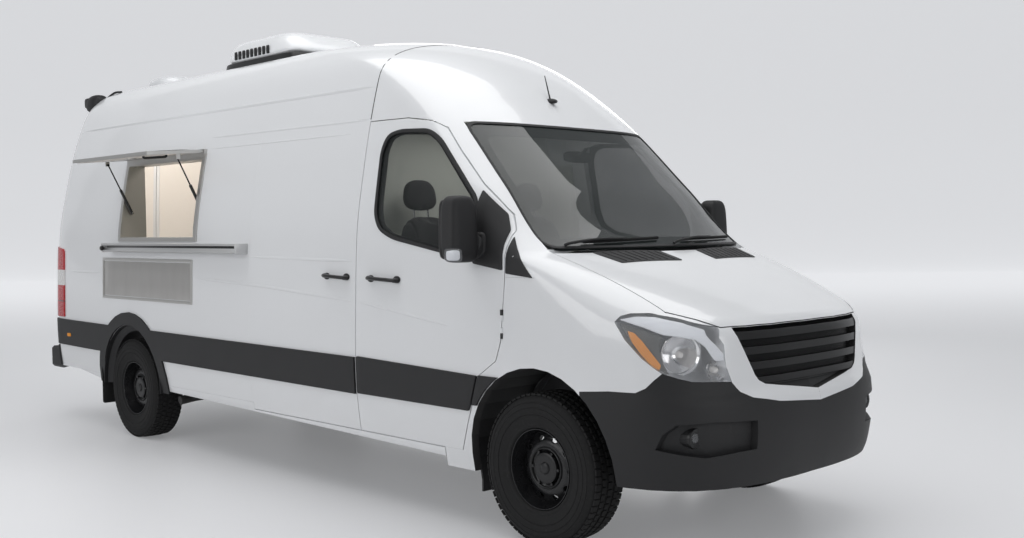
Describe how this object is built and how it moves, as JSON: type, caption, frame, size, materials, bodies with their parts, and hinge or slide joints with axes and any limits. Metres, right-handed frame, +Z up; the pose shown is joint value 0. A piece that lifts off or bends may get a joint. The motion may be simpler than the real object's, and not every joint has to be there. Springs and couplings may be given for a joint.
{
  "type": "high-roof cargo van",
  "caption": "Long high-roof cargo van with a serving hatch in its right wall; it rolls and steers, and its doors, bonnet and hatch flap swing on hinges.",
  "frame": {"origin": "middle of the load floor's top face, on the centre plane above the rear axle", "axes": "+X forward along the van, +Y to its left, +Z up; the ground is at Z = -0.700"},
  "size_m": [6.95, 2.505, 3.02],
  "materials": {
    "white_paint": "gloss white",
    "black_plastic": "moulded, satin",
    "stainless": "brushed",
    "tinted_glass": "tinted, clear",
    "clear_lamp": "clear moulded",
    "red_lamp": "red moulded",
    "tyre": "matt",
    "black_steel": "black satin",
    "chassis_paint": "matt underbody",
    "cloth": "woven",
    "cab_trim": "grained",
    "lining": "satin light grey"
  },
  "bodies": {
    "van_body": {"roof_panel": "white_paint", "cab_shell": "white_paint", "front_wing_right": "white_paint", "front_wing_left": "white_paint", "side_wall_right": "white_paint", "side_wall_left": "white_paint", "sliding_door": "white_paint", "roof_vent": "white_paint", "roof_air_conditioner": "white_paint", "grille": "black_plastic", "front_bumper": "black_plastic", "rear_bumper": "black_plastic", "side_moulding_right": "black_plastic", "side_moulding_left": "black_plastic", "front_arch_liner_right": "black_plastic", "front_arch_liner_left": "black_plastic", "hatch_frame": "stainless", "counter_ledge": "stainless", "access_panel": "stainless", "galley_cabinet": "stainless", "windscreen": "tinted_glass", "headlamp_right": "clear_lamp", "headlamp_left": "clear_lamp", "tail_lamp_right": "red_lamp", "tail_lamp_left": "red_lamp", "load_floor": "chassis_paint", "floor_frame": "chassis_paint", "front_subframe": "chassis_paint", "rear_axle": "chassis_paint", "engine": "chassis_paint", "fuel_tank": "chassis_paint", "seat_driver": "cloth", "seat_passenger": "cloth", "cab_floor": "cab_trim", "dashboard": "cab_trim", "partition": "lining"},
    "bonnet": {"bonnet": "white_paint"},
    "hatch_flap": {"hatch_flap": "stainless"},
    "front_door_right": {"front_door_right": "white_paint", "door_glass_right": "tinted_glass", "mirror_right": "black_plastic"},
    "front_door_left": {"front_door_left": "white_paint", "door_glass_left": "tinted_glass", "mirror_left": "black_plastic"},
    "rear_door_right": {"rear_door_right": "white_paint"},
    "rear_door_left": {"rear_door_left": "white_paint"},
    "knuckle_right": {"knuckle_right": "chassis_paint"},
    "knuckle_left": {"knuckle_left": "chassis_paint"},
    "strut_tube_rear": {"strut_tube_rear": "black_plastic"},
    "strut_tube_front": {"strut_tube_front": "black_plastic"},
    "strut_rod_rear": {"strut_rod_rear": "stainless"},
    "strut_rod_front": {"strut_rod_front": "stainless"},
    "wheel_front_right": {"tyre_front_right": "tyre", "rim_front_right": "black_steel"},
    "wheel_front_left": {"tyre_front_left": "tyre", "rim_front_left": "black_steel"},
    "wheel_rear_right": {"tyre_rear_right": "tyre", "rim_rear_right": "black_steel"},
    "wheel_rear_left": {"tyre_rear_left": "tyre", "rim_rear_left": "black_steel"}
  },
  "joints": [
    {"name": "bonnet_hinge", "type": "hinge", "parent": "van_body", "child": "bonnet", "pos_m": [4.325, 0, 0.725], "axis": [0, -1, 0], "range_deg": [0, 40]},
    {"name": "flap_hinge", "type": "hinge", "parent": "van_body", "child": "hatch_flap", "pos_m": [0.425, -0.895, 1.435], "axis": [1, 0, 0], "range_deg": [0, 70]},
    {"name": "strut_rear_swing", "type": "hinge", "parent": "van_body", "child": "strut_tube_rear", "pos_m": [-0.113, -0.885, 1.025], "axis": [1, 0, 0], "range_deg": [-24.5, 0.5]},
    {"name": "strut_rear_slide", "type": "slide", "parent": "strut_tube_rear", "child": "strut_rod_rear", "axis": [0, -0.4472, 0.8944], "range_m": [-0.172, 0.001]},
    {"name": "strut_front_swing", "type": "hinge", "parent": "van_body", "child": "strut_tube_front", "pos_m": [0.963, -0.885, 1.025], "axis": [1, 0, 0], "range_deg": [-24.5, 0.5]},
    {"name": "strut_front_slide", "type": "slide", "parent": "strut_tube_front", "child": "strut_rod_front", "axis": [0, -0.4472, 0.8944], "range_m": [-0.172, 0.001]},
    {"name": "front_door_right_hinge", "type": "hinge", "parent": "van_body", "child": "front_door_right", "pos_m": [4.1005, -0.982, 0.3], "axis": [0, 0, 1], "range_deg": [0, 70]},
    {"name": "rear_door_right_hinge", "type": "hinge", "parent": "van_body", "child": "rear_door_right", "pos_m": [-1.51, -0.795, 0.8], "axis": [0, 0, 1], "range_deg": [0, 180]},
    {"name": "front_door_left_hinge", "type": "hinge", "parent": "van_body", "child": "front_door_left", "pos_m": [4.1005, 0.982, 0.3], "axis": [0, 0, -1], "range_deg": [0, 70]},
    {"name": "rear_door_left_hinge", "type": "hinge", "parent": "van_body", "child": "rear_door_left", "pos_m": [-1.51, 0.795, 0.8], "axis": [0, 0, -1], "range_deg": [0, 180]},
    {"name": "steering_right", "type": "hinge", "parent": "van_body", "child": "knuckle_right", "pos_m": [4.325, -0.7, -0.319], "axis": [0, 0, 1], "range_deg": [-32, 32]},
    {"name": "steering_left", "type": "hinge", "parent": "van_body", "child": "knuckle_left", "pos_m": [4.325, 0.7, -0.319], "axis": [0, 0, 1], "range_deg": [-32, 32]},
    {"name": "wheel_front_right_spin", "type": "hinge", "parent": "knuckle_right", "child": "wheel_front_right", "pos_m": [4.325, -0.855, -0.319], "axis": [0, 1, 0], "continuous": true},
    {"name": "wheel_rear_right_spin", "type": "hinge", "parent": "van_body", "child": "wheel_rear_right", "pos_m": [0, -0.855, -0.319], "axis": [0, 1, 0], "continuous": true},
    {"name": "wheel_front_left_spin", "type": "hinge", "parent": "knuckle_left", "child": "wheel_front_left", "pos_m": [4.325, 0.855, -0.319], "axis": [0, 1, 0], "continuous": true},
    {"name": "wheel_rear_left_spin", "type": "hinge", "parent": "van_body", "child": "wheel_rear_left", "pos_m": [0, 0.855, -0.319], "axis": [0, 1, 0], "continuous": true}
  ],
  "couplings": [
    {"joint": "steering_left", "follows": "steering_right", "ratio": 1},
    {"joint": "strut_rear_swing", "follows": "flap_hinge", "ratio": -0.33},
    {"joint": "strut_rear_slide", "follows": "flap_hinge", "m_per_rad": -0.1316},
    {"joint": "strut_front_swing", "follows": "flap_hinge", "ratio": -0.33},
    {"joint": "strut_front_slide", "follows": "flap_hinge", "m_per_rad": -0.1316}
  ]
}
